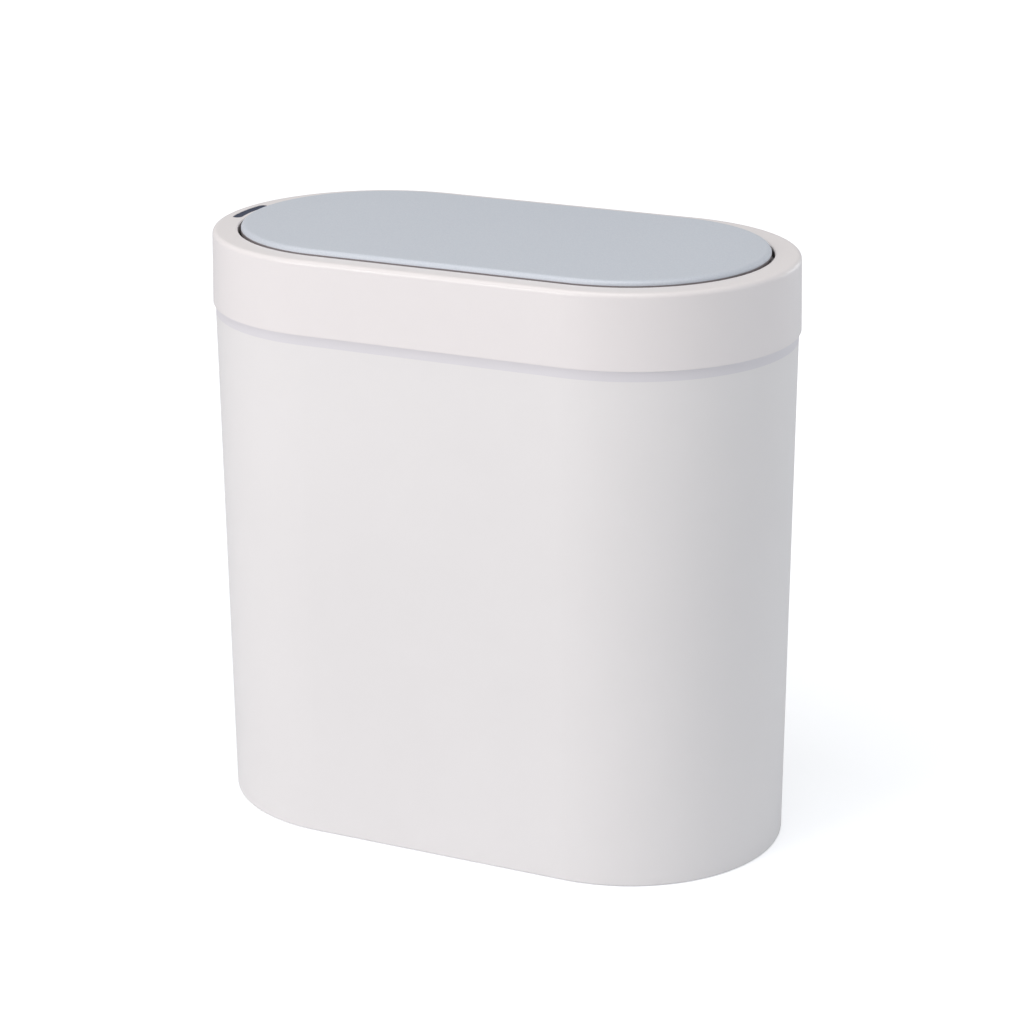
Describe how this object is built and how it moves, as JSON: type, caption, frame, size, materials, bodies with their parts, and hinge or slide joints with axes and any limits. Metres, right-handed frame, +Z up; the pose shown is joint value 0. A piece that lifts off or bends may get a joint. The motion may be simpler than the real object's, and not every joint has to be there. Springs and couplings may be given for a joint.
{
  "type": "sensor bin",
  "caption": "Slim upright waste bin with an obround plan, lift-off head and motor-driven silver lid opened by a sensor in the rim",
  "frame": {"origin": "middle of the flat foot the bin stands on", "axes": "+X along the bin's long plan axis towards the lid's hinge, -Y the long side seen in front, +Z up"},
  "size_m": [0.305, 0.166, 0.3026],
  "materials": {
    "white_shell": "soft gloss, moulded",
    "grey_frame": "fine moulded grain",
    "silver_lid": "satin silver-blue paint",
    "inner_plastic": "moulded, unpainted",
    "dark_window": "polished, dark smoked",
    "black_plastic": "moulded",
    "clear_lens": "clear cast resin",
    "circuit_board": "solder resist",
    "steel": "zinc plated",
    "gear_plastic": "natural acetal",
    "brass": "turned",
    "cell_skin": "shrunk-on film",
    "rubber": "soft, matte",
    "lead_skin": "smooth"
  },
  "bodies": {
    "bucket": {"bucket": "white_shell"},
    "head": {"head_ring": "white_shell", "head_frame": "grey_frame", "deck_cover": "grey_frame", "frame_screws": "steel", "deck_screws": "steel", "sensor_window": "dark_window", "sensor_holder": "black_plastic", "sensor_board": "circuit_board", "ir_emitter": "clear_lens", "ir_receiver": "black_plastic", "status_light": "clear_lens", "sensor_screws": "steel", "sensor_cable": "lead_skin", "main_board": "circuit_board", "board_screws": "steel", "battery_cells": "cell_skin", "battery_contacts": "steel", "gear_case": "inner_plastic", "gear_case_cover": "inner_plastic", "gear_case_screws": "steel", "gear_pins": "steel", "gear_motor": "steel", "hinge_brackets": "steel", "bracket_screws": "steel", "power_switch": "black_plastic", "motor_lead": "lead_skin", "battery_lead": "lead_skin", "switch_lead": "lead_skin"},
    "lid": {"lid_cap": "silver_lid", "lid_tray": "inner_plastic", "lid_gear": "gear_plastic", "hinge_pins": "steel", "lid_bumpers": "rubber"},
    "output_gear": {"output_gear": "gear_plastic"},
    "idler_gear": {"idler_gear": "gear_plastic"},
    "motor_rotor": {"motor_shaft": "steel", "motor_pinion": "brass"},
    "battery_door": {"battery_door": "grey_frame"},
    "switch_slider": {"switch_slider": "black_plastic"}
  },
  "joints": [
    {"name": "head_lift", "type": "slide", "parent": "bucket", "child": "head", "axis": [0, 0, 1], "range_m": [0, 0.06]},
    {"name": "lid_hinge", "type": "hinge", "parent": "head", "child": "lid", "pos_m": [0.1321, 0, 0.2999], "axis": [0, 1, 0], "range_deg": [0, 80]},
    {"name": "output_spin", "type": "hinge", "parent": "head", "child": "output_gear", "pos_m": [0.12635, 0, 0.28411], "axis": [0, 1, 0], "range_deg": [-256, 0]},
    {"name": "idler_spin", "type": "hinge", "parent": "head", "child": "idler_gear", "pos_m": [0.1316, 0, 0.27502], "axis": [0, 1, 0], "range_deg": [0, 819.2]},
    {"name": "motor_spin", "type": "hinge", "parent": "head", "child": "motor_rotor", "pos_m": [0.12061, 0, 0.2754], "axis": [0, 1, 0], "range_deg": [-2184.6, 0]},
    {"name": "battery_door_hinge", "type": "hinge", "parent": "head", "child": "battery_door", "pos_m": [0.11375, 0, 0.26], "axis": [0, -1, 0], "range_deg": [0, 95]},
    {"name": "switch_slide", "type": "slide", "parent": "head", "child": "switch_slider", "axis": [0, 1, 0], "range_m": [0, 0.003]}
  ],
  "couplings": [
    {"joint": "output_spin", "follows": "lid_hinge", "ratio": -3.2},
    {"joint": "idler_spin", "follows": "lid_hinge", "ratio": 10.24},
    {"joint": "motor_spin", "follows": "lid_hinge", "ratio": -27.307}
  ]
}
